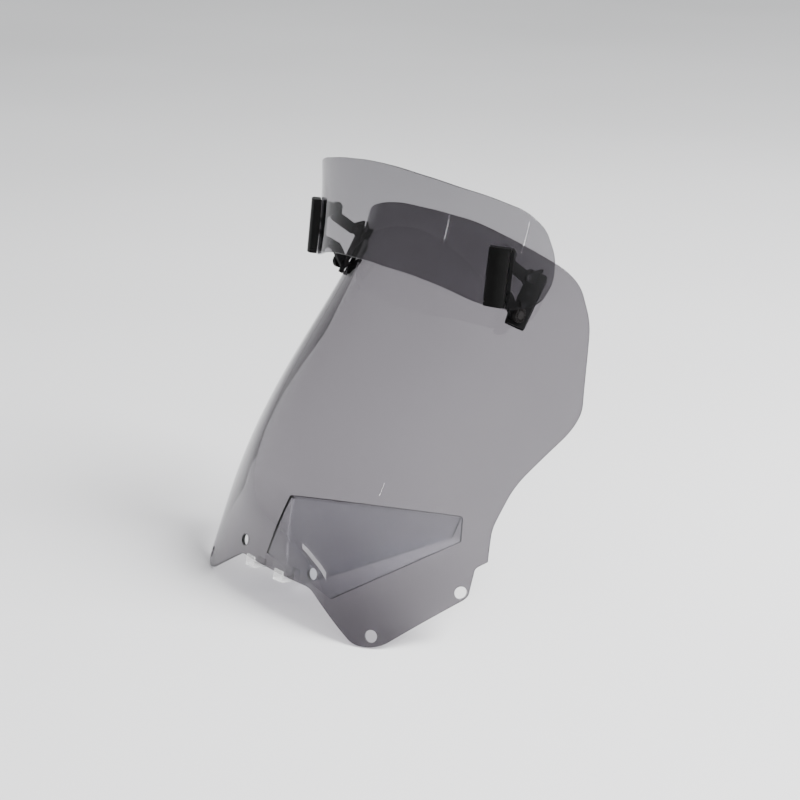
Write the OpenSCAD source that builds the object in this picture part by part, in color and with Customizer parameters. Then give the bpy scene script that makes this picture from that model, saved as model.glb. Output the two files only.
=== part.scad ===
// Motorcycle windshield screen with an adjustable spoiler blade.
// +X is to the right as seen from the front, +Y points to the rider, +Z is up.
// The curved screen stands on its two lower lobes and on a folded stand behind its middle.
// Each side has a linkage: a base plate on the screen, two arms, and a holder on the blade.

/* [Main screen] */
// Widest part of the screen
screen_w = 317; // [310:1:324]
// Height of the screen's top edge above the ground
screen_h = 302.5; // [298:0.5:306]
// Thickness of both plastic sheets
sheet_t = 3; // [2:0.5:4]
// Height of the middle of the bottom edge above the ground
bottom_rise = 33; // [28:1:40]
// Distance between the middles of the two resting lobes
lobe_span = 202; // [196:1:208]
// Lean of the middle of the screen from upright, at the ground
lean_foot = 14.5; // [8:0.5:20]
// Lean of the middle of the screen, a third of the way up
lean_low = 27; // [22:0.5:32]
// Lean of the middle of the screen, two thirds of the way up
lean_mid = 44; // [38:0.5:46]
// Lean of the middle of the screen, at the top edge
lean_top = 9; // [4:0.5:14]
// How far the sides sweep back at the ground
wrap_foot = 76; // [70:1:82]
// How far the sides sweep back at mid height
wrap_mid = 104; // [98:1:110]
// How far the sides sweep back at the top
wrap_top = 104; // [98:1:110]

/* [Mounting holes] */
// Diameter of the six mounting holes
hole_d = 10; // [8:0.5:11]
// Distance between the two holes near the middle
middle_hole_span = 88; // [80:1:94]
// Height of the two holes near the middle
middle_hole_z = 44; // [42:0.5:48]
// Distance between the two holes in the lobes
lobe_hole_span = 208; // [204:1:212]
// Height of the two holes in the lobes
lobe_hole_z = 9.5; // [9:0.5:12]
// Distance between the two holes in the side tabs
tab_hole_span = 286; // [280:1:286]
// Height of the two holes in the side tabs
tab_hole_z = 42; // [40:0.5:45]

/* [Spoiler blade] */
// Width of the blade
blade_w = 280; // [278:0.5:282]
// Height of the blade's top edge in the middle
blade_top_z = 349; // [346:0.5:352]
// Height of the blade's bottom edge in the middle
blade_bottom_z = 271; // [268:0.5:272]
// Distance from the foot of the screen back to the blade, in the middle
blade_y = 119; // [116:1:121]
// Lean of the blade from upright, in its middle
blade_lean = 9.5; // [7:0.5:12]
// How far the ends of the blade sweep back
blade_wrap = 62; // [58:1:65]

/* [Linkage] */
// Distance from the middle of the object to the arms of each linkage
unit_x = 104; // [103.5:0.5:105]
// Distance from the middle of the object to the middle of each grip bar
bar_x = 108; // [107:0.5:108.5]
// Thickness of each arm
arm_t = 3.5; // [3:0.5:3.5]
// Diameter of the hinge pins
pin_d = 3; // [2.6:0.2:3.2]
// Outer radius of the arms' eyes
eye_r = 4.8; // [4.4:0.1:4.8]
// Outer radius of the lugs beside the arms
lug_r = 3.1; // [2.8:0.1:3.2]
// Width of the grip bar in front of the blade
bar_w = 15; // [12:1:17]
// Length of the grip bar
bar_h = 46; // [44:1:54]
// How far the grip bar stands out from the blade
bar_depth = 9; // [7:1:11]
// Width of the base plate
plate_w = 15; // [13:1:17]
// Length of the base plate
plate_h = 46; // [44:1:50]
// Thickness of the base plate and of the clamp plate
plate_t = 3; // [2.5:0.5:3]
// Distance from the middle of the screen's front to the flat back of the base plate
base_pad_t = 2.2; // [2.1:0.1:2.4]

/* [Stand] */
// Height of the ridge's front end
stand_front_z = 92; // [86:1:94]
// Height of the ridge's rear end
stand_rear_z = 20.5; // [18:0.5:26]
// Lean of each panel of the stand from upright
stand_splay = 13; // [10:0.5:16]
// Outer radius of the bend along the ridge
stand_bend_r = 3.2; // [3:0.1:4]
// Thickness of the stand's sheet
stand_t = 2.5; // [2:0.1:2.6]

/* [Hidden] */

// Smoothness of round things
round_n = 48;
// Where the foot of the screen's middle line lies, with the origin under the middle of the whole object
front_y = -110.4;

right = 1;
left = -1;

// ---- Smooth sheets ----

// Half width at which the sweep of the screen is stated
wrap_half_w = 152;
// Share of the sweep that grows with the square of x, the rest grows with its fourth power
round_foot = 0.06;
round_mid = 0.57;
round_top = 0;
// Height over which the lean angles are stated
lean_span = 300;

// The cubic through four values at 0, 1/3, 2/3 and 1
function cubic_a(v) = v[0];
function cubic_b(v) = (-11 * v[0] + 18 * v[1] - 9 * v[2] + 2 * v[3]) / 2;
function cubic_c(v) = (18 * v[0] - 45 * v[1] + 36 * v[2] - 9 * v[3]) / 2;
function cubic_d(v) = (-9 * v[0] + 27 * v[1] - 27 * v[2] + 9 * v[3]) / 2;
// The parabola through three values at 0, 1/2 and 1
function parabola(v, t) = v[0] + (-3 * v[0] + 4 * v[1] - v[2]) * t + (2 * v[0] - 4 * v[1] + 2 * v[2]) * t * t;

lean_slopes = [tan(lean_foot), tan(lean_low), tan(lean_mid), tan(lean_top)];

// Middle line of the screen: the lean summed up from the ground to height z
function middle_line(z) = let (t = z / lean_span, v = lean_slopes)
    front_y + lean_span * (cubic_a(v) * t + cubic_b(v) * t^2 / 2
    + cubic_c(v) * t^3 / 3 + cubic_d(v) * t^4 / 4);
// Sweep back at x: part parabola, part fourth power
function swept(share, x, half_w) = share * (x / half_w)^2 + (1 - share) * (x / half_w)^4;

function screen_y(x, z) = let (t = z / lean_span)
    middle_line(z) + parabola([wrap_foot, wrap_mid, wrap_top], t)
    * swept(parabola([round_foot, round_mid, round_top], t), x, wrap_half_w);

// Height in the blade at which its place and lean are stated
blade_z = 300;
// Share of the blade's sweep that grows with the square of x
blade_round = 0.73;
// The blade straightens towards its top by this much slope per millimetre
blade_bow = -0.0022;
// The blade's sweep shrinks upwards by this much per millimetre
blade_taper = -0.16;

function blade_front_y(x, z) = let (h = z - blade_z)
    front_y + blade_y + h * tan(blade_lean) + blade_bow * h^2 / 2
    + (blade_wrap + blade_taper * h) * swept(blade_round, x, blade_w / 2);

// The two front surfaces
screen_kind = 0;
blade_kind = 1;
function surface_y(kind, x, z) = kind == screen_kind ? screen_y(x, z) : blade_front_y(x, z);
slope_step = 0.1;
function surface_slope_x(kind, x, z) =
    (surface_y(kind, x + slope_step, z) - surface_y(kind, x - slope_step, z)) / (2 * slope_step);
function surface_slope_z(kind, x, z) =
    (surface_y(kind, x, z + slope_step) - surface_y(kind, x, z - slope_step)) / (2 * slope_step);
// Unit normal that points to the front
function surface_normal(kind, x, z) =
    let (n = [surface_slope_x(kind, x, z), -1, surface_slope_z(kind, x, z)]) n / norm(n);
// Point at a depth behind the front surface
function surface_point(kind, x, z, depth) =
    [x, surface_y(kind, x, z), z] - depth * surface_normal(kind, x, z);

// ---- Outlines: corners as [x, z, radius], from the middle of the bottom edge to the middle of the top ----

lobe_x = lobe_span / 2;
screen_corners = [
    [0, bottom_rise, 0], [44, bottom_rise, 18], [lobe_x - 7.5, 1.1, 20], [lobe_x + 10, 1.1, 18],
    [146.8, 37.6, 7], [145.6, 59.5, 4], [149.8, 63.3, 0.8], [146.3, 88, 60], [147.6, 118, 70],
    [screen_w / 2 + 5, 159.5, 90], [140.8, screen_h - 72.5, 150], [124.2, screen_h - 35.3, 60],
    [92.4, screen_h - 13.7, 120], [52, screen_h - 1.2, 150], [0, screen_h, 0]
];
blade_corners = [
    [0, blade_bottom_z, 0], [40, blade_bottom_z - 1.8, 200], [70, blade_bottom_z - 7.4, 150],
    [102, 251.6, 100], [119, 248.6, 25], [133, 253, 12], [blade_w / 2 - 1.1, 271, 45],
    [blade_w / 2 - 1.2, 291, 60], [133.5, 312, 30], [122, 325.8, 30], [98, 335.6, 120],
    [58, blade_top_z - 4.9, 250], [20, blade_top_z - 0.3, 250], [0, blade_top_z, 0]
];

arc_steps = 6;
function flat(list) = [for (part = list) each part];
// Arc that rounds corner b between corners a and c
function rounded_corner(a, b, c, r) = r == 0 ? [b] : let (
    u = (a - b) / norm(a - b),
    v = (c - b) / norm(c - b),
    half = acos(u * v) / 2,
    cut = r / tan(half),
    middle = b + (u + v) / norm(u + v) * r / sin(half),
    from = b + u * cut - middle,
    to = b + v * cut - middle
) [for (i = [0 : arc_steps]) let (
    k = i / arc_steps,
    d = from * (1 - k) + to * k
) middle + d / norm(d) * r];
function half_outline(corners) = flat([for (i = [0 : len(corners) - 1]) let (
    c = corners[i],
    p = [c[0], c[1]],
    before = i == 0 ? p : [corners[i - 1][0], corners[i - 1][1]],
    after = i == len(corners) - 1 ? p : [corners[i + 1][0], corners[i + 1][1]]
) rounded_corner(before, p, after, c[2])]);
// Adds points so that no side is longer than a set length
longest_side = 15;
function split_sides(points) = [for (i = [0 : len(points) - 2]) let (
    a = points[i],
    b = points[i + 1],
    steps = max(1, ceil(norm(b - a) / longest_side))
) each [for (k = [0 : steps - 1]) a + (b - a) * k / steps]];
// The closed outline: up the right side, then down the left side
function whole_outline(corners) = let (
    half = half_outline(corners),
    side = split_sides(half),
    top = half[len(half) - 1]
) concat(side, [top], [for (i = [len(side) - 1 : -1 : 1]) [-side[i][0], side[i][1]]]);

// How many rings of facets each sheet has
screen_rings = 12;
blade_rings = 10;
// A curved sheet: rings of points between the hub and the outline, on the front and on the back
module curved_sheet(kind, corners, hub, rings, thickness) {
    outline = whole_outline(corners);
    n = len(outline);
    function ring_point(j, k, depth) = let (p = hub + (outline[k % n] - hub) * j / rings)
        surface_point(kind, p[0], p[1], depth);
    front = [for (j = [1 : rings]) for (k = [0 : n - 1]) ring_point(j, k, 0)];
    back = [for (j = [1 : rings]) for (k = [0 : n - 1]) ring_point(j, k, thickness)];
    points = concat(front, back, [surface_point(kind, hub[0], hub[1], 0)],
        [surface_point(kind, hub[0], hub[1], thickness)]);
    half = rings * n;
    front_hub = 2 * half;
    back_hub = front_hub + 1;
    function id(j, k) = (j - 1) * n + k % n;
    front_faces = flat([for (j = [1 : rings - 1]) for (k = [0 : n - 1]) [
        [id(j, k), id(j + 1, k + 1), id(j + 1, k)],
        [id(j, k), id(j, k + 1), id(j + 1, k + 1)]
    ]]);
    front_fan = [for (k = [0 : n - 1]) [front_hub, id(1, k + 1), id(1, k)]];
    back_faces = [for (f = front_faces) [half + f[0], half + f[2], half + f[1]]];
    back_fan = [for (k = [0 : n - 1]) [back_hub, half + id(1, k), half + id(1, k + 1)]];
    rim = flat([for (k = [0 : n - 1]) [
        [id(rings, k), id(rings, k + 1), half + id(rings, k + 1)],
        [id(rings, k), half + id(rings, k + 1), half + id(rings, k)]
    ]]);
    polyhedron(points, concat(front_faces, front_fan, back_faces, back_fan, rim));
}

// Turns and moves its children so that their -Y side faces along the surface's normal at (x, z)
module on_surface(kind, x, z) {
    n = surface_normal(kind, x, z);
    translate([x, surface_y(kind, x, z), z])
    rotate([0, 0, atan2(n[0], -n[1])])
    rotate([-asin(n[2]), 0, 0])
    children();
}

// The same, but with the child's upright axis kept in the plane x = constant
module on_surface_upright(kind, x, z) {
    n = surface_normal(kind, x, z);
    translate([x, surface_y(kind, x, z), z])
    rotate([-atan2(n[2], -n[1]), 0, 0])
    rotate([0, 0, asin(n[0])])
    children();
}

module sided(side) {
    if (side == left) mirror([1, 0, 0]) children();
    else children();
}

// A rod along the local Y axis
module rod_y(d, from, to) {
    translate([0, from, 0]) rotate([-90, 0, 0]) cylinder(d = d, h = to - from, $fn = round_n);
}
// A rod along X through the point [y, z]
module rod_x(d, at, from, to) {
    translate([from, at[0], at[1]]) rotate([0, 90, 0]) cylinder(d = d, h = to - from, $fn = round_n);
}
// A shape drawn in Y and Z, given a thickness along X
module plate_x(from, to) {
    translate([from, 0, 0]) rotate([90, 0, 90]) linear_extrude(to - from) children();
}
module disc(at, r) {
    translate(at) circle(r, $fn = 32);
}
module bar_between(a, b, r) {
    hull() {
        disc(a, r);
        disc(b, r);
    }
}

// A block between a curved face, at a depth behind the sheet's front, and a flat face that lies
// a set distance in front of the plane that touches the sheet at (x, z)
block_steps = [4, 10];
module fitted_block(kind, x, z, w, h, depth, flat_face) {
    n = surface_normal(kind, x, z);
    middle = surface_point(kind, x, z, 0);
    up = [0, -n[2], n[1]] / -norm([n[1], n[2]]);
    across = cross(up, n);
    columns = block_steps[0] + 1;
    half = columns * (block_steps[1] + 1);
    curved = [for (j = [0 : block_steps[1]]) for (i = [0 : block_steps[0]]) let (
        to = across * w * (i / block_steps[0] - 0.5) + up * h * (j / block_steps[1] - 0.5)
    ) surface_point(kind, x + to[0], z + to[2], depth)];
    flat_side = [for (p = curved) p + n * (flat_face - (p - middle) * n)];
    cells = [for (j = [0 : block_steps[1] - 1]) for (i = [0 : block_steps[0] - 1]) j * columns + i];
    // Round the block's side: along the bottom, up, back along the top and down
    border = concat(
        [for (i = [0 : block_steps[0] - 1]) i],
        [for (j = [0 : block_steps[1] - 1]) j * columns + block_steps[0]],
        [for (i = [block_steps[0] : -1 : 1]) block_steps[1] * columns + i],
        [for (j = [block_steps[1] : -1 : 1]) j * columns]
    );
    curved_cells = flat([for (c = cells) [[c, c + 1, c + columns + 1], [c, c + columns + 1, c + columns]]]);
    flat_cells = [for (f = curved_cells) [half + f[2], half + f[1], half + f[0]]];
    walls = flat([for (k = [0 : len(border) - 1]) let (
        a = border[k],
        b = border[(k + 1) % len(border)]
    ) [[a, half + a, half + b], [a, half + b, b]]]);
    faces = concat(curved_cells, flat_cells, walls);
    in_front = depth <= 0;
    polyhedron(concat(curved, flat_side), in_front ? faces : [for (f = faces) [f[2], f[1], f[0]]]);
}

// ---- Linkage points as [y, z]: both sides of each linkage are equal and parallel ----

upper_base = [front_y + 182.8, 267.5];
upper_blade = [front_y + 165.7, 288.8];
pivot_pitch = [11.3, 27.8];
lower_base = upper_base - pivot_pitch;
lower_blade = upper_blade - pivot_pitch;

// Radial clearance between a pin and its arm
pin_gap = 0.05;
// Clearance along X between an arm and the lugs beside it
side_gap = 0.25;
lug_t = 2;
arm_from = unit_x - arm_t / 2;
arm_to = unit_x + arm_t / 2;
inner_lug_from = arm_from - side_gap - lug_t;
inner_lug_to = arm_from - side_gap;
outer_lug_from = arm_to + side_gap;
outer_lug_to = arm_to + side_gap + lug_t;

// A flat plate with round corners, its face towards -Y, from one depth to another
module flat_plate(w, h, r, from, to) {
    translate([0, to, 0]) rotate([90, 0, 0]) linear_extrude(to - from) union() {
        square([w - 2 * r, h], center = true);
        square([w, h - 2 * r], center = true);
        for (x = [-1, 1]) for (z = [-1, 1])
            translate([x * (w / 2 - r), z * (h / 2 - r)]) circle(r, $fn = round_n);
    }
}

// ---- Root: screen, stand and bases ----

module mounting_holes() {
    middle_hole = [middle_hole_span, middle_hole_z];
    lobe_hole = [lobe_hole_span, lobe_hole_z];
    tab_hole = [tab_hole_span, tab_hole_z];
    for (hole = [middle_hole, lobe_hole, tab_hole]) {
        for (side = [left, right]) {
            on_surface(screen_kind, side * hole[0] / 2, hole[1]) rod_y(hole_d, -3 * sheet_t, 4 * sheet_t);
        }
    }
}

// Height of the middle of the base plate
plate_z = 248;
base_screw_rise = 5;
screw_d = 4;
screw_hole_d = 4.6;
head_d = 8;
head_t = 2.4;
// Play between a curved sheet and what is moulded to fit it
fit_gap = 0.45;
// Play between two flat faces that meet
face_gap = 0.03;
// Thickness of the flat pad behind the screen, and its play
clamp_pad_t = 1;
back_gap = 0.5;

module base_places() {
    on_surface_upright(screen_kind, unit_x, plate_z) children();
}
module base_screw_places() {
    base_places() for (rise = [-1, 1]) translate([0, 0, rise * base_screw_rise]) children();
}
// Depths behind the front of the screen
clamp_pad_from = sheet_t + back_gap;
clamp_plate_from = clamp_pad_from + clamp_pad_t;
clamp_plate_to = clamp_plate_from + plate_t;

module main_screen() {
    color([0.42, 0.41, 0.43, 0.6]) difference() {
        curved_sheet(screen_kind, screen_corners, [0, 150], screen_rings, sheet_t);
        mounting_holes();
        for (side = [left, right])
            sided(side) base_screw_places() rod_y(screw_hole_d, -2 * sheet_t, 3 * sheet_t);
    }
}

// The room that the eye of an arm needs
module eye_relief(at) {
    rod_x(2 * (eye_r + side_gap), at, inner_lug_to, outer_lug_from);
}
// The room that a whole hinge needs in a pad
hinge_room_r = 8;
module hinge_relief(at) {
    rod_x(2 * hinge_room_r, at, inner_lug_from - 4 * lug_t, outer_lug_to + 4 * lug_t);
}

lug_foot_r = 1;
lug_foot_rise = 5;
// Middle of the base plate's thickness at height z, on one x
function plate_middle(x, z) = let (
    n = surface_normal(screen_kind, unit_x, plate_z),
    p = surface_point(screen_kind, unit_x, plate_z, -base_pad_t - plate_t / 2)
) [p[1] + (n[0] * (x - p[0]) + n[2] * (z - p[2])) / -n[1], z];

module base_lug(at, from, to) {
    x = (from + to) / 2;
    plate_x(from, to) hull() {
        disc(at, lug_r);
        disc(plate_middle(x, at[1] - 2 - lug_foot_rise), lug_foot_r);
        disc(plate_middle(x, at[1] - 2 + lug_foot_rise), lug_foot_r);
    }
}

pin_head_t = 0.7;
pin_head_d = pin_d + 2;
// The hole for a pin through two lugs, and the room for its heads
module pin_holes(at) {
    rod_x(pin_d, at, inner_lug_from, outer_lug_to);
    rod_x(pin_head_d + 2 * side_gap, at, inner_lug_from - 3 * lug_t, inner_lug_from);
    rod_x(pin_head_d + 2 * side_gap, at, outer_lug_to, outer_lug_to + 3 * lug_t);
}

// The knob on the lower base pin
knob_r = 6;
knob_t = 3.5;
knob_ridges = 16;
arm_slot = [1.5, 8];
module base_plate(side) {
    color([0.1, 0.1, 0.1]) sided(side) difference() {
        union() {
            base_places() flat_plate(plate_w, plate_h, 2, -base_pad_t - plate_t, -base_pad_t);
            for (at = [upper_base, lower_base]) {
                base_lug(at, inner_lug_from, inner_lug_to);
                base_lug(at, outer_lug_from, outer_lug_to);
            }
        }
        eye_relief(upper_base);
        eye_relief(lower_base);
        // The slot for the lower arm when the blade is down
        plate_x(inner_lug_to, outer_lug_from) bar_between(lower_base, lower_base + arm_slot, eye_r);
        rod_x(2 * (knob_r + side_gap), lower_base, outer_lug_to, outer_lug_to + 3 * knob_t);
        pin_holes(upper_base);
        pin_holes(lower_base);
        base_screw_places() rod_y(screw_d, -3 * plate_t, 0);
    }
}

module base_pad(side) {
    color([0.05, 0.05, 0.05]) sided(side) difference() {
        fitted_block(screen_kind, unit_x, plate_z, plate_w - 1, plate_h - 1, -fit_gap, base_pad_t - face_gap);
        hinge_relief(upper_base);
        hinge_relief(lower_base);
        base_screw_places() rod_y(screw_hole_d, -3 * base_pad_t, 2 * base_pad_t);
    }
}

module clamp_pad(side) {
    color([0.05, 0.05, 0.05]) sided(side) difference() {
        base_places() flat_plate(plate_w - 1, plate_h - 1, 1.5, clamp_pad_from, clamp_plate_from);
        base_screw_places() rod_y(screw_hole_d, sheet_t, 4 * sheet_t);
    }
}

module clamp_plate(side) {
    color([0.12, 0.12, 0.12]) sided(side) difference() {
        base_places() flat_plate(plate_w, plate_h, 2, clamp_plate_from, clamp_plate_to);
        base_screw_places() rod_y(screw_hole_d, sheet_t, 4 * sheet_t);
    }
}

// A round-headed screw along Y: its head at the back, a hexagon socket in the head
socket_d = 2.9;
socket_depth = 1.5;
module screw(from, to) {
    difference() {
        union() {
            rod_y(screw_d, from, to);
            rod_y(head_d, to, to + head_t);
        }
        translate([0, to + head_t, 0]) rotate([90, 0, 0]) cylinder(d = socket_d, h = socket_depth, $fn = 6);
    }
}

module base_screws(side) {
    color([0.3, 0.3, 0.32]) sided(side) base_screw_places()
        screw(-base_pad_t - plate_t + 0.4, clamp_plate_to);
}

// A hollow hinge pin with a head at each end
module hinge_pin(side, at) {
    color([0.16, 0.16, 0.17]) sided(side) difference() {
        union() {
            rod_x(pin_d, at, inner_lug_from, outer_lug_to);
            rod_x(pin_head_d, at, inner_lug_from - pin_head_t, inner_lug_from);
            rod_x(pin_head_d, at, outer_lug_to, outer_lug_to + pin_head_t);
        }
        rod_x(pin_d / 2, at, inner_lug_from - 2 * pin_head_t, outer_lug_to + 2 * pin_head_t);
    }
}

// The lower base pin ends in a knob with ridges on its face
module detent_knob(side) {
    color([0.14, 0.13, 0.13]) sided(side) difference() {
        union() {
            rod_x(pin_d, lower_base, inner_lug_from, outer_lug_to);
            rod_x(pin_head_d, lower_base, inner_lug_from - pin_head_t, inner_lug_from);
            rod_x(2 * knob_r, lower_base, outer_lug_to, outer_lug_to + knob_t);
        }
        translate([outer_lug_to + knob_t, lower_base[0], lower_base[1]])
        for (i = [0 : knob_ridges - 1]) rotate([i * 360 / knob_ridges, 0, 0]) translate([0, 0, knob_r - 1.4])
            cube([1.6, 1, 2.4], center = true);
    }
}

// Ends of the stand's ridge, and of its feet on the ground
stand_front_y = front_y + 31.5;
stand_rear_y = front_y + 215.5;
stand_foot_from = front_y + 52;
stand_foot_to = front_y + 209;
ridge_tilt = atan2(stand_front_z - stand_rear_z, stand_rear_y - stand_front_y);
// The heights at which the stand's front edge follows the back of the screen, and its play there
stand_steps = [43, 50, 60, 70, 80, 88, 95, 102];
stand_play = 0.8;
panel_len = 130;

bend_steps = 12;

// The folded sheet, as it runs along its ridge
module folded_sheet() {
    splay = atan(tan(stand_splay) * cos(ridge_tilt));
    // One face of the sheet: up one panel, round the bend and down the other panel
    function face_line(r) = concat(
        [r * [cos(splay), sin(splay)] + panel_len * [sin(splay), -cos(splay)]],
        [for (i = [0 : bend_steps]) let (
            a = splay + (180 - 2 * splay) * i / bend_steps
        ) r * [cos(a), sin(a)]],
        [r * [-cos(splay), sin(splay)] - panel_len * [sin(splay), cos(splay)]]
    );
    outer = face_line(stand_bend_r);
    inner = face_line(stand_bend_r - stand_t);
    translate([0, stand_rear_y, stand_rear_z]) rotate([-ridge_tilt, 0, 0])
    translate([0, panel_len, -stand_bend_r]) rotate([90, 0, 0]) linear_extrude(3 * panel_len)
        polygon(concat(outer, [for (i = [len(inner) - 1 : -1 : 0]) inner[i]]));
}

module support_stand() {
    function behind_screen(z) = let (p = surface_point(screen_kind, 0, z, sheet_t)) [p[1] + stand_play, p[2]];
    color([0.75, 0.76, 0.78, 0.5]) intersection() {
        folded_sheet();
        plate_x(-panel_len, panel_len) polygon(concat(
            [[stand_foot_from, 0]],
            [for (z = stand_steps) behind_screen(z)],
            [[stand_rear_y, stand_front_z + 9], [stand_rear_y, stand_rear_z], [stand_foot_to, 0]]
        ));
    }
}

// Clear hooks on the bottom edge: a bar under the edge, a tall leg in front and a short one behind
clip_x = 18;
clip_w = 10;
clip_wall = 1.2;
clip_play = 0.35;
clip_front = 10.2;
clip_front_h = 9;
clip_rear_h = 6;
module bottom_edge_clips() {
    rear = sheet_t + clip_play;
    foot = -clip_play - clip_wall;
    color([0.9, 0.9, 0.9, 0.5]) for (side = [left, right]) {
        on_surface(screen_kind, side * clip_x, bottom_rise) translate([-clip_w / 2, 0, foot]) {
            translate([0, -clip_front, 0]) cube([clip_w, clip_front + rear + clip_wall, clip_wall]);
            translate([0, -clip_front, 0]) cube([clip_w, clip_wall, clip_front_h]);
            translate([0, rear, 0]) cube([clip_w, clip_wall, clip_rear_h]);
        }
    }
}

// ---- Arms ----

module upper_arm(side) {
    color([0.09, 0.09, 0.09]) sided(side) difference() {
        plate_x(arm_from, arm_to) {
            bar_between(upper_blade, [front_y + 164.8, 283], eye_r);
            bar_between([front_y + 164.3, 281.5], upper_base, eye_r - 0.4);
        }
        for (at = [upper_blade, upper_base]) rod_x(pin_d + 2 * pin_gap, at, arm_from - 1, arm_to + 1);
    }
}

module lower_arm(side) {
    elbow = [front_y + 163.8, 254.5];
    color([0.09, 0.09, 0.09]) sided(side) difference() {
        plate_x(arm_from, arm_to) {
            bar_between(lower_blade, elbow, eye_r - 0.8);
            bar_between(elbow, lower_base, eye_r - 0.4);
        }
        for (at = [lower_blade, lower_base]) rod_x(pin_d + 2 * pin_gap, at, arm_from - 1, arm_to + 1);
    }
}

// ---- Spoiler blade and what is fixed to it ----

// Height of the middle of the bar and the holder
bar_z = 275;
bar_screw_rise = 5;
holder_w = 20;
holder_h = 42;
// Depths behind the front of the blade
holder_from = 4.2;
holder_to = 6.8;
holder_t = holder_to - holder_from;
// Distance from the middle of the blade's front to the bar's flat back
bar_back = 1;

module bar_places() {
    on_surface_upright(blade_kind, bar_x, bar_z) children();
}
module bar_screw_places() {
    bar_places() for (rise = [-1, 1]) translate([0, 0, rise * bar_screw_rise]) children();
}

module spoiler_blade() {
    color([0.42, 0.41, 0.43, 0.6]) difference() {
        curved_sheet(blade_kind, blade_corners, [0, 300], blade_rings, sheet_t);
        for (side = [left, right])
            sided(side) bar_screw_places() rod_y(screw_hole_d, -2 * sheet_t, 3 * sheet_t);
    }
}

bar_lip = 0.8;
bar_lip_t = 3;
module grip_bar(side) {
    face_r = bar_w * 0.9;
    color([0.07, 0.07, 0.06]) sided(side) difference() {
        union() {
            bar_places() translate([0, 0, -bar_h / 2]) linear_extrude(bar_h) intersection() {
                translate([-bar_w / 2, -bar_depth]) square([bar_w, bar_depth - bar_back]);
                translate([0, face_r - bar_depth]) circle(face_r, $fn = 96);
            }
            // A lip at each end
            bar_places() for (end = [-1, 1])
                translate([0, 0, (end * (bar_h - bar_lip_t) - bar_lip_t) / 2]) linear_extrude(bar_lip_t)
                translate([-bar_w / 2 - bar_lip, 2 - bar_depth])
                square([bar_w + 2 * bar_lip, bar_depth - 2 - bar_back]);
            // The back is moulded to fit the blade
            fitted_block(blade_kind, bar_x, bar_z, bar_w - 1, bar_h - 1, -fit_gap, bar_back + 0.5);
        }
        bar_screw_places() rod_y(screw_d, 2 - bar_depth, 1);
    }
}

module holder_pad(side) {
    color([0.05, 0.05, 0.05]) sided(side) difference() {
        fitted_block(blade_kind, bar_x, bar_z, holder_w - 1, holder_h - 1,
            sheet_t + fit_gap, face_gap - holder_from);
        hinge_relief(upper_blade);
        hinge_relief(lower_blade);
        bar_screw_places() rod_y(screw_hole_d, sheet_t - 1, 3 * sheet_t);
    }
}

// A point inside the holder's thickness at height z, on one x
function holder_middle(x, z) = let (
    n = surface_normal(blade_kind, bar_x, bar_z),
    p = surface_point(blade_kind, bar_x, bar_z, holder_from + 0.6 * holder_t)
) [p[1] + (n[0] * (x - p[0]) + n[2] * (z - p[2])) / -n[1], z];

module holder_lug(at, from, to) {
    x = (from + to) / 2;
    plate_x(from, to) hull() {
        disc(at, lug_r);
        disc(holder_middle(x, at[1] + lug_foot_rise), lug_foot_r);
        disc(holder_middle(x, at[1] - lug_foot_rise), lug_foot_r);
    }
}

// The slot for the lower arm when the blade is up
holder_slot = [5, -9];
module blade_holder(side) {
    color([0.1, 0.1, 0.1]) sided(side) difference() {
        union() {
            bar_places() flat_plate(holder_w, holder_h, 2, holder_from, holder_to);
            for (at = [upper_blade, lower_blade]) {
                holder_lug(at, inner_lug_from, inner_lug_to);
                holder_lug(at, outer_lug_from, outer_lug_to);
            }
        }
        eye_relief(upper_blade);
        eye_relief(lower_blade);
        plate_x(inner_lug_to, outer_lug_from)
            bar_between(lower_blade, lower_blade + holder_slot, eye_r - 0.4);
        pin_holes(upper_blade);
        pin_holes(lower_blade);
        bar_screw_places() countersunk_screw(0, holder_to, screw_gap);
    }
}

// A screw along Y whose head is sunk level with the back, with play all round if it stands for its hole
sunk_head_d = 7;
screw_gap = 0.2;
module countersunk_screw(from, to, play) {
    cone = (sunk_head_d - screw_d) / 2;
    rod_y(screw_d + 2 * play, from, to);
    translate([0, to - cone - play, 0]) rotate([-90, 0, 0])
        cylinder(d1 = screw_d, d2 = sunk_head_d + 2 * play, h = cone + play, $fn = round_n);
}

module bar_screws(side) {
    color([0.3, 0.3, 0.32]) sided(side) bar_screw_places() difference() {
        countersunk_screw(2.5 - bar_depth, holder_to, 0);
        translate([0, holder_to, 0]) rotate([90, 0, 0]) cylinder(d = socket_d, h = socket_depth, $fn = 6);
    }
}

// ---- Every piece by name ----

main_screen();
support_stand();
bottom_edge_clips();
spoiler_blade();
base_plate(left);  // left_base_plate
base_plate(right);  // right_base_plate
base_pad(left);  // left_base_pad
base_pad(right);  // right_base_pad
clamp_plate(left);  // left_clamp_plate
clamp_plate(right);  // right_clamp_plate
clamp_pad(left);  // left_clamp_pad
clamp_pad(right);  // right_clamp_pad
base_screws(left);  // left_base_screws
base_screws(right);  // right_base_screws
upper_arm(left);  // left_upper_arm
upper_arm(right);  // right_upper_arm
lower_arm(left);  // left_lower_arm
lower_arm(right);  // right_lower_arm
blade_holder(left);  // left_blade_holder
blade_holder(right);  // right_blade_holder
holder_pad(left);  // left_holder_pad
holder_pad(right);  // right_holder_pad
grip_bar(left);  // left_grip_bar
grip_bar(right);  // right_grip_bar
bar_screws(left);  // left_bar_screws
bar_screws(right);  // right_bar_screws
detent_knob(left);  // left_detent_knob
detent_knob(right);  // right_detent_knob
hinge_pin(left, upper_base);  // left_upper_base_pin
hinge_pin(right, upper_base);  // right_upper_base_pin
hinge_pin(left, upper_blade);  // left_upper_blade_pin
hinge_pin(right, upper_blade);  // right_upper_blade_pin
hinge_pin(left, lower_blade);  // left_lower_blade_pin
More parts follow.
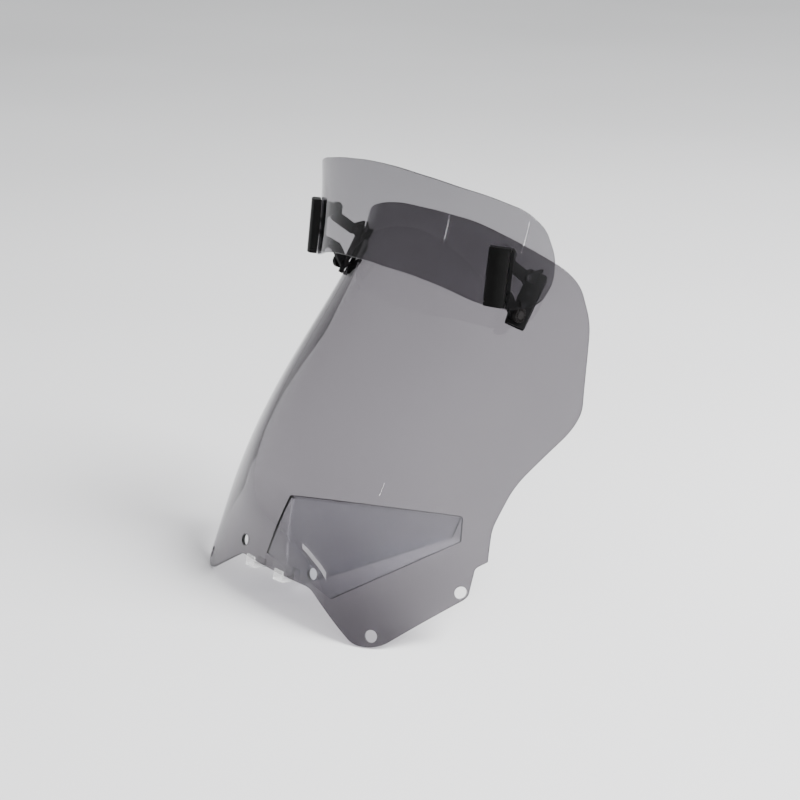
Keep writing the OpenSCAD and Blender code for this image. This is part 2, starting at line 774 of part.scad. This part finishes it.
hinge_pin(right, lower_blade);  // right_lower_blade_pin
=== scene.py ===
"""The looks of a motorcycle windshield screen with an adjustable spoiler blade."""

import math

import bpy
import bmesh
import numpy as np
from mathutils import Matrix, Vector


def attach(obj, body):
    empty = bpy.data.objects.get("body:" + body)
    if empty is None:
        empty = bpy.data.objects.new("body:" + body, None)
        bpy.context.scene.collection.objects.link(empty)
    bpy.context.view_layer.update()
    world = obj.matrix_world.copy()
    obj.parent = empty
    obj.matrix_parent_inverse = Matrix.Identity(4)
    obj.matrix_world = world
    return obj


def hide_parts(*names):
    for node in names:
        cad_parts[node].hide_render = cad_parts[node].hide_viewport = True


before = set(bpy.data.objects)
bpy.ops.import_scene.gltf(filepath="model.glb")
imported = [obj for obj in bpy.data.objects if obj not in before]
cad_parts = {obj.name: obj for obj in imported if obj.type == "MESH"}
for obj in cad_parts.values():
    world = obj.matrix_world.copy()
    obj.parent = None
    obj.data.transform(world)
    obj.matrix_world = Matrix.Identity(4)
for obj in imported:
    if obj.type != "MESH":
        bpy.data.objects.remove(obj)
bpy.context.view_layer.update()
MM = 0.001
FRONT_Y = -110.4  # mm: the foot of the screen's middle line


# ---------------------------------------------------------------- camera

VIEW_AZIMUTH = 48.4  # degrees round from the front, towards +X
VIEW_ELEVATION = 19.8
VIEW_DISTANCE = 1.36
AIM = Vector((0.028, FRONT_Y * MM + 0.1177, 0.159))
LENS_MM = 75.6
SENSOR_MM = 36.0
CAMERA_SHIFT = (0.0025, 0.0019)  # shares of the picture's width
CAMERA_REACH = 100.0  # m


def new_object(name, data):
    """An object of the scene that holds the data."""
    made = bpy.data.objects.new(name, data)
    bpy.context.scene.collection.objects.link(made)
    return made


def make_camera():
    azimuth, elevation = math.radians(VIEW_AZIMUTH), math.radians(VIEW_ELEVATION)
    towards_camera = Vector(
        (
            math.sin(azimuth) * math.cos(elevation),
            -math.cos(azimuth) * math.cos(elevation),
            math.sin(elevation),
        )
    )
    data = bpy.data.cameras.new("camera")
    data.lens = LENS_MM
    data.sensor_width = SENSOR_MM
    data.clip_end = CAMERA_REACH
    data.shift_x, data.shift_y = CAMERA_SHIFT
    camera = new_object("camera", data)
    camera.location = AIM + towards_camera * VIEW_DISTANCE
    camera.rotation_euler = (-towards_camera).to_track_quat("-Z", "Y").to_euler()
    bpy.context.scene.camera = camera


make_camera()


# ---------------------------------------------------------------- curved sheets, in millimetres

SHEET_T = 3.0

SCREEN_W, SCREEN_H = 317.0, 302.5
BOTTOM_RISE = 33.0  # height of the bottom edge at the middle
LOBE_X = 101.0  # middle of each lobe of the bottom edge
LEAN_SPAN = 300.0  # height over which the leans, wraps and rounds are spread
LEANS = (14.5, 27.0, 44.0, 9.0)  # degrees back from upright, at 0, 1/3, 2/3 and 1 of that height
WRAPS = (76.0, 104.0, 104.0)  # how far the sides sweep back, at 0, 1/2 and 1 of that height
ROUNDS = (0.06, 0.57, 0.0)  # the parabola's share of that sweep, at the same heights
WRAP_HALF_W = 152.0  # where the sweep reaches its full depth

BLADE_W = 280.0
BLADE_TOP_Z, BLADE_BOTTOM_Z = 349.0, 271.0
BLADE_Z = 300.0  # height at which the next three are given
BLADE_Y = 119.0  # from the foot of the screen's middle line
BLADE_LEAN = 9.5  # degrees
BLADE_WRAP = 62.0
BLADE_BOW = -0.0022  # change of the slope with height, per mm
BLADE_TAPER = -0.16  # change of the wrap with height
BLADE_ROUND = 0.73  # the parabola's share of the wrap

SLOPES = [math.tan(math.radians(a)) for a in LEANS]
# The cubic through the four slopes at 0, 1/3, 2/3 and 1, as coefficients of t^0 to t^3
CUBIC = (
    SLOPES[0],
    (-11 * SLOPES[0] + 18 * SLOPES[1] - 9 * SLOPES[2] + 2 * SLOPES[3]) / 2,
    (18 * SLOPES[0] - 45 * SLOPES[1] + 36 * SLOPES[2] - 9 * SLOPES[3]) / 2,
    (-9 * SLOPES[0] + 27 * SLOPES[1] - 27 * SLOPES[2] + 9 * SLOPES[3]) / 2,
)


def parabola(v, t):
    """The parabola through three values at t of 0, 1/2 and 1."""
    return v[0] + (-3 * v[0] + 4 * v[1] - v[2]) * t + (2 * v[0] - 4 * v[1] + 2 * v[2]) * t * t


def swept(share, x, half_w):
    """From 0 in the middle to 1 at half_w: a share of x squared, and the rest of x to the 4th."""
    s = x / half_w
    return share * s**2 + (1 - share) * s**4


def screen_y(x, z):
    """The screen's front face."""
    t = z / LEAN_SPAN
    middle = LEAN_SPAN * sum(c * t ** (i + 1) / (i + 1) for i, c in enumerate(CUBIC))
    return FRONT_Y + middle + parabola(WRAPS, t) * swept(parabola(ROUNDS, t), x, WRAP_HALF_W)


def blade_y(x, z):
    """The blade's front face."""
    h = z - BLADE_Z
    middle = BLADE_Y + h * math.tan(math.radians(BLADE_LEAN)) + BLADE_BOW * h**2 / 2
    return FRONT_Y + middle + (BLADE_WRAP + BLADE_TAPER * h) * swept(BLADE_ROUND, x, BLADE_W / 2)


def surface_normal(surface, x, z, step=0.1):
    """Unit normals that point to the front, at arrays of x and z."""
    sx = (surface(x + step, z) - surface(x - step, z)) / (2 * step)
    sz = (surface(x, z + step) - surface(x, z - step)) / (2 * step)
    n = np.stack([sx, -np.ones_like(sx), sz], -1)
    return n / np.linalg.norm(n, axis=-1, keepdims=True)


def surface_points(surface, x, z):
    return np.stack([x, surface(x, z), z], -1)


# Corners as (x, z, radius), from the middle of the bottom edge to the middle of the top
SCREEN_CORNERS = [
    (0, BOTTOM_RISE, 0),
    (44, BOTTOM_RISE, 18),
    (LOBE_X - 7.5, 1.1, 20),
    (LOBE_X + 10, 1.1, 18),
    (146.8, 37.6, 7),
    (145.6, 59.5, 4),
    (149.8, 63.3, 0.8),
    (146.3, 88, 60),
    (147.6, 118, 70),
    (SCREEN_W / 2 + 1.6, 159.4, 45),
    (140.2, SCREEN_H - 72.5, 150),
    (124.2, SCREEN_H - 35.3, 60),
    (92.4, SCREEN_H - 13.7, 120),
    (52, SCREEN_H - 1.2, 150),
    (0, SCREEN_H, 0),
]
BLADE_CORNERS = [
    (0, BLADE_BOTTOM_Z, 0),
    (40, BLADE_BOTTOM_Z - 1.8, 200),
    (70, BLADE_BOTTOM_Z - 7.4, 150),
    (102, 251.6, 100),
    (119, 248.6, 25),
    (133, 253, 12),
    (BLADE_W / 2 - 1.1, 271, 45),
    (BLADE_W / 2 - 1.2, 291, 60),
    (133.5, 312, 30),
    (122, 325.8, 30),
    (98, 335.6, 120),
    (58, BLADE_TOP_Z - 4.9, 250),
    (20, BLADE_TOP_Z - 0.3, 250),
    (0, BLADE_TOP_Z, 0),
]


def rounded_corner(a, b, c, r, steps=14):
    """Points of the arc that rounds corner b between corners a and c."""
    if r == 0:
        return [b]
    u = (a - b) / np.linalg.norm(a - b)
    v = (c - b) / np.linalg.norm(c - b)
    half = math.acos(float(u @ v)) / 2
    cut = r / math.tan(half)
    middle = b + (u + v) / np.linalg.norm(u + v) * r / math.sin(half)
    start, end = b + u * cut - middle, b + v * cut - middle
    arc = []
    for i in range(steps + 1):
        d = start * (1 - i / steps) + end * i / steps
        arc.append(middle + d / np.linalg.norm(d) * r)
    return arc


def whole_outline(corners, longest=3.0):
    """The closed outline as an array of (x, z), up the right side and down the left side."""
    half = []
    for i, (x, z, r) in enumerate(corners):
        before = np.array(corners[max(i - 1, 0)][:2], float)
        after = np.array(corners[min(i + 1, len(corners) - 1)][:2], float)
        half += rounded_corner(before, np.array((x, z), float), after, r)
    side = []
    for a, b in zip(half, half[1:]):
        steps = max(1, math.ceil(np.linalg.norm(b - a) / longest))
        side += [a + (b - a) * k / steps for k in range(steps)]
    side.append(half[-1])
    side = np.array(side)
    return np.concatenate([side, (side * (-1, 1))[-2:0:-1]])


EDGE_ROUND = 0.7  # mm
EDGE_STEPS = 3


def curved_sheet(name, surface, corners, hub, rings):
    """A sheet of one thickness with rounded edges.

    Rings of points run from the hub to the edge on the front, over the edge, and back on the rear.
    """
    outline = whole_outline(corners)
    n = len(outline)
    hub = np.array(hub, float)
    rows = []
    for j in range(1, rings):
        p = hub + (outline - hub) * j / rings
        rows.append((p[:, 0], p[:, 1]))
    front = [surface_points(surface, x, z) for x, z in rows]
    back = [f - SHEET_T * surface_normal(surface, x, z) for f, (x, z) in zip(front, rows)]
    edge = surface_points(surface, outline[:, 0], outline[:, 1])
    normal = surface_normal(surface, outline[:, 0], outline[:, 1])
    along = np.roll(edge, -1, axis=0) - np.roll(edge, 1, axis=0)
    outward = np.cross(normal, along)
    outward /= np.linalg.norm(outward, axis=1, keepdims=True)
    if outward[0, 2] > 0:  # the outline starts on the bottom edge
        outward = -outward
    rim = []
    for middle_depth, start in ((EDGE_ROUND, 90), (SHEET_T - EDGE_ROUND, 0)):
        for i in range(EDGE_STEPS + 1):
            a = math.radians(start - 90 * i / EDGE_STEPS)
            out = (math.cos(a) - 1) * EDGE_ROUND
            depth = middle_depth - math.sin(a) * EDGE_ROUND
            rim.append(edge + outward * out - normal * depth)
    x0, z0 = np.array([hub[0]]), np.array([hub[1]])
    front_hub = surface_points(surface, x0, z0)
    back_hub = front_hub - SHEET_T * surface_normal(surface, x0, z0)
    loops = front + rim + back[::-1]
    points = np.concatenate(loops + [front_hub, back_hub]) * MM
    faces = []
    for j in range(len(loops) - 1):
        for k in range(n):
            m = (k + 1) % n
            faces.append((j * n + k, j * n + m, (j + 1) * n + m, (j + 1) * n + k))
    last = (len(loops) - 1) * n
    hub_id = len(loops) * n
    for k in range(n):
        m = (k + 1) % n
        faces.append((hub_id, m, k))
        faces.append((hub_id + 1, last + k, last + m))
    mesh = bpy.data.meshes.new(name)
    mesh.from_pydata(points.tolist(), [], faces)
    mesh.validate()
    bm = bmesh.new()
    bm.from_mesh(mesh)
    bmesh.ops.recalc_face_normals(bm, faces=bm.faces)
    bm.to_mesh(mesh)
    bm.free()
    return new_object(name, mesh)


CUTTER_SIDES = 64
CUTTER_LONG = 24.0  # mm


def hole_cutter(surface, x, z, diameter, upright=False, rise=0.0):
    """A long cylinder along the sheet's normal at (x, z), moved up by rise in its own frame.

    The rise of an upright one keeps to its own x, as the screws of the linkage do.
    """
    n = surface_normal(surface, np.array([float(x)]), np.array([float(z)]))[0]
    if upright:
        lean = Matrix.Rotation(-math.atan2(n[2], -n[1]), 4, "X")
        turn = lean @ Matrix.Rotation(math.asin(n[0]), 4, "Z")
    else:
        lean = Matrix.Rotation(-math.asin(n[2]), 4, "X")
        turn = Matrix.Rotation(math.atan2(n[0], -n[1]), 4, "Z") @ lean
    place = Matrix.Translation(Vector((x, surface(x, z), z)) * MM) @ turn
    bm = bmesh.new()
    bmesh.ops.create_cone(
        bm,
        cap_ends=True,
        segments=CUTTER_SIDES,
        radius1=diameter / 2 * MM,
        radius2=diameter / 2 * MM,
        depth=CUTTER_LONG * MM,
        matrix=place
        @ Matrix.Translation((0, 0, rise * MM))
        @ Matrix.Rotation(math.pi / 2, 4, "X"),
    )
    return bm


def cut_holes(piece, cutters):
    """Cuts every cutter out of the piece and keeps the result as its mesh."""
    merged = bpy.data.meshes.new("cutters")
    whole = bmesh.new()
    for bm in cutters:
        part = bpy.data.meshes.new("cutter")
        bm.to_mesh(part)
        bm.free()
        whole.from_mesh(part)
        bpy.data.meshes.remove(part)
    whole.to_mesh(merged)
    whole.free()
    tool = new_object("cutters", merged)
    cut = piece.modifiers.new("holes", "BOOLEAN")
    cut.object = tool
    cut.operation = "DIFFERENCE"
    cut.solver = "EXACT"
    bpy.context.view_layer.update()
    evaluated = piece.evaluated_get(bpy.context.evaluated_depsgraph_get())
    mesh = bpy.data.meshes.new_from_object(evaluated)
    piece.modifiers.clear()
    old = piece.data
    piece.data = mesh
    mesh.name = piece.name
    bpy.data.meshes.remove(old)
    bpy.data.objects.remove(tool)
    bpy.data.meshes.remove(merged)


SHEET_SHARP_ANGLE = math.radians(35)


def true_normals(piece, surface, flat_within=0.9):
    """Shades the two big faces with the surface's own normals.

    So the cut holes leave no trace in the reflections.
    """
    mesh = piece.data
    mesh.shade_smooth()
    mesh.set_sharp_from_angle(angle=SHEET_SHARP_ANGLE)
    count = len(mesh.loops)
    co = np.empty(len(mesh.vertices) * 3, np.float32)
    mesh.vertices.foreach_get("co", co)
    co = co.reshape(-1, 3).astype(float) / MM
    vertex = np.empty(count, np.int32)
    mesh.loops.foreach_get("vertex_index", vertex)
    totals = np.empty(len(mesh.polygons), np.int32)
    mesh.polygons.foreach_get("loop_total", totals)
    face_n = np.empty(len(mesh.polygons) * 3, np.float32)
    mesh.polygons.foreach_get("normal", face_n)
    face_n = np.repeat(face_n.reshape(-1, 3), totals, axis=0)
    ideal = surface_normal(surface, co[:, 0], co[:, 2])[vertex]
    facing = (ideal * face_n).sum(1)
    corner = np.array([c.vector[:] for c in mesh.corner_normals])
    front, back = facing > flat_within, facing < -flat_within
    corner[front] = ideal[front]
    corner[back] = -ideal[back]
    mesh.normals_split_custom_set(corner.tolist())


# ---------------------------------------------------------------- materials


def new_material(name):
    material = bpy.data.materials.new(name)
    material.use_nodes = True
    nodes, links = material.node_tree.nodes, material.node_tree.links
    nodes.clear()
    output = nodes.new("ShaderNodeOutputMaterial")
    shader = nodes.new("ShaderNodeBsdfPrincipled")
    links.new(shader.outputs[0], output.inputs["Surface"])
    return material, nodes, links, shader, output


def object_noise(nodes, links, scale, detail=4.0, roughness=0.55):
    """Noise that is fixed to the piece; the scale is in cells per metre."""
    place = nodes.new("ShaderNodeTexCoord")
    noise = nodes.new("ShaderNodeTexNoise")
    noise.inputs["Scale"].default_value = scale
    noise.inputs["Detail"].default_value = detail
    noise.inputs["Roughness"].default_value = roughness
    links.new(place.outputs["Object"], noise.inputs["Vector"])
    return noise.outputs["Fac"]


NOISE_LOW, NOISE_HIGH = 0.3, 0.7  # the part of the noise that a ramp spreads out


def ramp(nodes, links, value, low, high):
    """Maps noise to colours between two ends."""
    node = nodes.new("ShaderNodeValToRGB")
    ends = node.color_ramp.elements
    ends[0].position, ends[1].position = NOISE_LOW, NOISE_HIGH
    ends[0].color, ends[1].color = (*low, 1), (*high, 1)
    links.new(value, node.inputs["Fac"])
    return node.outputs["Color"]


def grey_ramp(nodes, links, value, ends):
    return ramp(nodes, links, value, (ends[0],) * 3, (ends[1],) * 3)


def bump(nodes, links, shader, height, strength, distance):
    node = nodes.new("ShaderNodeBump")
    node.inputs["Strength"].default_value = strength
    node.inputs["Distance"].default_value = distance
    links.new(height, node.inputs["Height"])
    links.new(node.outputs["Normal"], shader.inputs["Normal"])


TINT_CLOUD_SCALE, TINT_CLOUD_DETAIL = 7.0, 3.0
TINT_CLOUD_DARKEST = 0.97
POLISH_SCALE, POLISH_DETAIL = 60.0, 2.0


def acrylic(name, tint, shadow_tint, roughness, ior, transmission=1.0):
    """Polished acrylic: tinted glass that lets lamps through, with a faintly uneven polish."""
    material, nodes, links, shader, output = new_material(name)
    shader.inputs["Transmission Weight"].default_value = transmission
    shader.inputs["IOR"].default_value = ior
    cloud = object_noise(nodes, links, TINT_CLOUD_SCALE, TINT_CLOUD_DETAIL)
    darker = tuple(c * TINT_CLOUD_DARKEST for c in tint)
    links.new(ramp(nodes, links, cloud, darker, tint), shader.inputs["Base Color"])
    fine = object_noise(nodes, links, POLISH_SCALE, POLISH_DETAIL)
    links.new(grey_ramp(nodes, links, fine, roughness), shader.inputs["Roughness"])
    clear = nodes.new("ShaderNodeBsdfTransparent")
    clear.inputs["Color"].default_value = (*shadow_tint, 1)
    path = nodes.new("ShaderNodeLightPath")
    mix = nodes.new("ShaderNodeMixShader")
    links.new(path.outputs["Is Shadow Ray"], mix.inputs["Fac"])
    links.new(shader.outputs[0], mix.inputs[1])
    links.new(clear.outputs[0], mix.inputs[2])
    links.new(mix.outputs[0], output.inputs["Surface"])
    return material


TONE_SCALE = 90.0
GRAIN_DETAIL, GRAIN_ROUGHNESS = 2.0, 0.5
GRAIN_BUMP = 0.06
MOULDED_SPECULAR = 0.09


def moulded(name, low, high, grain, roughness, depth):
    """Fine-textured black plastic: a slight change of tone, and a grain in its bump and gloss."""
    material, nodes, links, shader, _ = new_material(name)
    tone = object_noise(nodes, links, TONE_SCALE)
    links.new(ramp(nodes, links, tone, low, high), shader.inputs["Base Color"])
    fine = object_noise(nodes, links, grain, GRAIN_DETAIL, GRAIN_ROUGHNESS)
    links.new(grey_ramp(nodes, links, fine, roughness), shader.inputs["Roughness"])
    bump(nodes, links, shader, fine, GRAIN_BUMP, depth)
    shader.inputs["Specular IOR Level"].default_value = MOULDED_SPECULAR
    return material


def coated_steel(name, low, high, scale, roughness, metallic):
    """Black-coated steel whose tone and gloss change together."""
    material, nodes, links, shader, _ = new_material(name)
    tone = object_noise(nodes, links, scale)
    links.new(ramp(nodes, links, tone, low, high), shader.inputs["Base Color"])
    links.new(grey_ramp(nodes, links, tone, roughness), shader.inputs["Roughness"])
    shader.inputs["Metallic"].default_value = metallic
    return material


SMOKED = acrylic(
    "smoked_acrylic",
    tint=(0.265, 0.257, 0.273),
    shadow_tint=(0.5, 0.49, 0.505),
    roughness=(0.0, 0.006),
    ior=1.26,
)
SMOKED_SCREEN = acrylic(
    "smoked_screen",
    tint=(0.185, 0.174, 0.189),
    shadow_tint=(0.36, 0.35, 0.365),
    roughness=(0.0, 0.006),
    ior=1.42,
)
CLEAR = acrylic(
    "clear_acrylic",
    tint=(0.86, 0.87, 0.89),
    shadow_tint=(0.92, 0.92, 0.93),
    roughness=(0.0, 0.02),
    ior=1.24,
)
CLIP = acrylic(
    "clear_clip",
    tint=(0.98, 0.98, 0.98),
    shadow_tint=(0.95, 0.95, 0.95),
    roughness=(0.05, 0.1),
    ior=1.49,
    transmission=0.8,
)
FINE_GRAIN, RUBBER_GRAIN = 1500.0, 500.0
PLASTIC = moulded(
    "black_plastic",
    low=(0.002, 0.002, 0.0021),
    high=(0.0045, 0.0045, 0.0048),
    grain=FINE_GRAIN,
    roughness=(0.5, 0.56),
    depth=0.00004,
)
BAR = moulded(
    "bar_plastic",
    low=(0.001, 0.001, 0.001),
    high=(0.0025, 0.0025, 0.0024),
    grain=FINE_GRAIN,
    roughness=(0.32, 0.38),
    depth=0.00002,
)
KNOB = moulded(
    "knob_plastic",
    low=(0.004, 0.0036, 0.0036),
    high=(0.009, 0.008, 0.008),
    grain=FINE_GRAIN,
    roughness=(0.4, 0.46),
    depth=0.00003,
)
RUBBER = moulded(
    "black_rubber",
    low=(0.003, 0.003, 0.003),
    high=(0.008, 0.008, 0.008),
    grain=RUBBER_GRAIN,
    roughness=(0.65, 0.85),
    depth=0.00005,
)
STEEL = coated_steel(
    "black_steel",
    low=(0.02, 0.02, 0.022),
    high=(0.045, 0.045, 0.048),
    scale=400.0,
    roughness=(0.3, 0.45),
    metallic=0.6,
)

NODE_MATERIALS = {
    "base_plate": PLASTIC,
    "base_pad": RUBBER,
    "clamp_plate": PLASTIC,
    "clamp_pad": RUBBER,
    "base_screws": STEEL,
    "upper_base_pin": STEEL,
    "detent_knob": KNOB,
    "upper_arm": PLASTIC,
    "lower_arm": PLASTIC,
    "blade_holder": PLASTIC,
    "holder_pad": RUBBER,
    "grip_bar": BAR,
    "bar_screws": STEEL,
    "upper_blade_pin": STEEL,
    "lower_blade_pin": STEEL,
}
EDGE_BEVEL_MM = {
    "grip_bar": 0.9,
    "base_plate": 0.5,
    "upper_arm": 0.5,
    "lower_arm": 0.5,
    "detent_knob": 0.25,
}
SMALL_BEVEL_MM = 0.2
STAND_BEVEL_MM = 0.5
BEVEL_SEGMENTS = 3
BEVEL_FROM_ANGLE = math.radians(35)
NODE_SHARP_ANGLE = math.radians(32)


def finish_node(obj, material, bevel_mm):
    """Gives a CAD node its material and a small round on its edges."""
    obj.data.materials.clear()
    obj.data.materials.append(material)
    obj.data.shade_smooth()
    obj.data.set_sharp_from_angle(angle=NODE_SHARP_ANGLE)
    edge = obj.modifiers.new("edge", "BEVEL")
    edge.width = bevel_mm * MM
    edge.segments = BEVEL_SEGMENTS
    edge.limit_method = "ANGLE"
    edge.angle_limit = BEVEL_FROM_ANGLE
    edge.harden_normals = True


for side in ("left", "right"):
    for part, material in NODE_MATERIALS.items():
        bevel_mm = EDGE_BEVEL_MM.get(part, SMALL_BEVEL_MM)
        finish_node(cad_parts[f"{side}_{part}"], material, bevel_mm)
finish_node(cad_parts["support_stand"], CLEAR, STAND_BEVEL_MM)
finish_node(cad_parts["bottom_edge_clips"], CLIP, SMALL_BEVEL_MM)


# ---------------------------------------------------------------- screen and blade

HOLES = ((44.0, 44.0), (104.0, 9.5), (143.0, 42.0))  # x and z of the mounting holes, right side
HOLE_D, SCREW_HOLE_D = 10.0, 4.6
UNIT_X, BAR_X = 104.0, 108.0  # the linkage's plates and the grip bars
PLATE_Z, BAR_Z = 248.0, 275.0
SCREW_RISE = 5.0  # from the middle of a plate or bar to each of its two screws
SCREEN_HUB, SCREEN_RINGS = (0, 150), 34
BLADE_HUB, BLADE_RINGS = (0, 300), 20


def screw_cutters(surface, x, z):
    """The pairs of screw holes on both sides."""
    return [
        hole_cutter(surface, s * x, z, SCREW_HOLE_D, True, r * SCREW_RISE)
        for s in (-1, 1)
        for r in (-1, 1)
    ]


def make_screen():
    screen = curved_sheet("windshield_sheet", screen_y, SCREEN_CORNERS, SCREEN_HUB, SCREEN_RINGS)
    cutters = [hole_cutter(screen_y, s * x, z, HOLE_D) for x, z in HOLES for s in (-1, 1)]
    cut_holes(screen, cutters + screw_cutters(screen_y, UNIT_X, PLATE_Z))
    true_normals(screen, screen_y)
    screen.data.materials.append(SMOKED_SCREEN)
    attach(screen, "screen")
    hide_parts("main_screen")


def make_blade():
    blade = curved_sheet("spoiler_sheet", blade_y, BLADE_CORNERS, BLADE_HUB, BLADE_RINGS)
    cut_holes(blade, screw_cutters(blade_y, BAR_X, BAR_Z))
    true_normals(blade, blade_y)
    blade.data.materials.append(SMOKED)
    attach(blade, "spoiler")
    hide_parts("spoiler_blade")


make_screen()
make_blade()


# ---------------------------------------------------------------- studio


FLOOR_SIZE = 30.0
FLOOR_TONE_SCALE, FLOOR_TONE_DETAIL = 0.8, 2.0
FLOOR_TONES = ((0.60, 0.60, 0.605), (0.66, 0.66, 0.665))
FLOOR_ROUGHNESS = 0.8

SKY_COLOUR = (0.98, 0.99, 1.0, 1)
BRIGHT_SIDE = (0.8, 0.25, 0.35)  # the direction in which the sky is brightest
SKY_FROM, SKY_STRENGTH = (-0.7, 1.0), (0.15, 1.7)  # from the cosine to that direction
WALL_HEIGHTS, WALL_STRENGTH = (0.0, 0.5), (0.62, 0.0)

# Name, place, aim, width and height in metres, power in watts, spread in degrees
LIGHTS = (
    ("overhead", (1.4, 0.8, 2.0), (0.1, 0.1, 0.1), (1.4, 1.4), 232, 180),
    ("low_strip", (-0.335, -0.798, 0.085), (0.044, -0.094, 0.055), (0.23, 0.022), 0.15, 180),
    ("tall_strip", (0.25, -2.09, 1.45), (0.05, -0.05, 0.1), (0.02, 0.17), 0.14, 180),
    ("blade_strip", (-0.03, -0.97, 0.264), (0.068, 0.022, 0.308), (0.004, 0.04), 0.0004, 18),
    ("end_strip", (0.73, -0.72, 0.12), (0.122, 0.053, 0.305), (0.004, 0.05), 0.0005, 18),
)


def make_floor():
    material, nodes, links, shader, _ = new_material("studio_floor")
    tone = object_noise(nodes, links, FLOOR_TONE_SCALE, FLOOR_TONE_DETAIL)
    links.new(ramp(nodes, links, tone, *FLOOR_TONES), shader.inputs["Base Color"])
    shader.inputs["Roughness"].default_value = FLOOR_ROUGHNESS
    bm = bmesh.new()
    bmesh.ops.create_grid(bm, x_segments=1, y_segments=1, size=FLOOR_SIZE)
    mesh = bpy.data.meshes.new("studio_floor")
    bm.to_mesh(mesh)
    bm.free()
    floor = new_object("studio_floor", mesh)
    floor.data.materials.append(material)


def soft_light(name, place, aim, size, power, spread):
    data = bpy.data.lights.new(name, "AREA")
    data.shape = "RECTANGLE"
    data.size, data.size_y = size
    data.energy = power
    data.spread = math.radians(spread)
    lamp = new_object(name, data)
    lamp.location = place
    lamp.rotation_euler = (Vector(aim) - Vector(place)).to_track_quat("-Z", "Y").to_euler()


def smooth_range(nodes, links, value, source, target):
    """Maps a value smoothly from the source range to the target range."""
    node = nodes.new("ShaderNodeMapRange")
    node.interpolation_type = "SMOOTHSTEP"
    for label, (low, high) in (("From", source), ("To", target)):
        node.inputs[f"{label} Min"].default_value = low
        node.inputs[f"{label} Max"].default_value = high
    links.new(value, node.inputs["Value"])
    return node.outputs["Result"]


def make_sky():
    """A sky that is brightest on one side, with walls as bright as the floor near the horizon."""
    world = bpy.data.worlds.new("studio")
    world.use_nodes = True
    bpy.context.scene.world = world
    nodes, links = world.node_tree.nodes, world.node_tree.links
    background = nodes["Background"]
    background.inputs["Color"].default_value = SKY_COLOUR
    place = nodes.new("ShaderNodeTexCoord")
    towards = nodes.new("ShaderNodeVectorMath")
    towards.operation = "DOT_PRODUCT"
    towards.inputs[1].default_value = Vector(BRIGHT_SIDE).normalized()
    links.new(place.outputs["Generated"], towards.inputs[0])
    sky = smooth_range(nodes, links, towards.outputs["Value"], SKY_FROM, SKY_STRENGTH)
    height = nodes.new("ShaderNodeSeparateXYZ")
    links.new(place.outputs["Generated"], height.inputs[0])
    wall = smooth_range(nodes, links, height.outputs["Z"], WALL_HEIGHTS, WALL_STRENGTH)
    brighter = nodes.new("ShaderNodeMath")
    brighter.operation = "MAXIMUM"
    links.new(sky, brighter.inputs[0])
    links.new(wall, brighter.inputs[1])
    links.new(brighter.outputs[0], background.inputs["Strength"])


make_floor()
make_sky()
for light in LIGHTS:
    soft_light(*light)

bpy.context.view_layer.update()
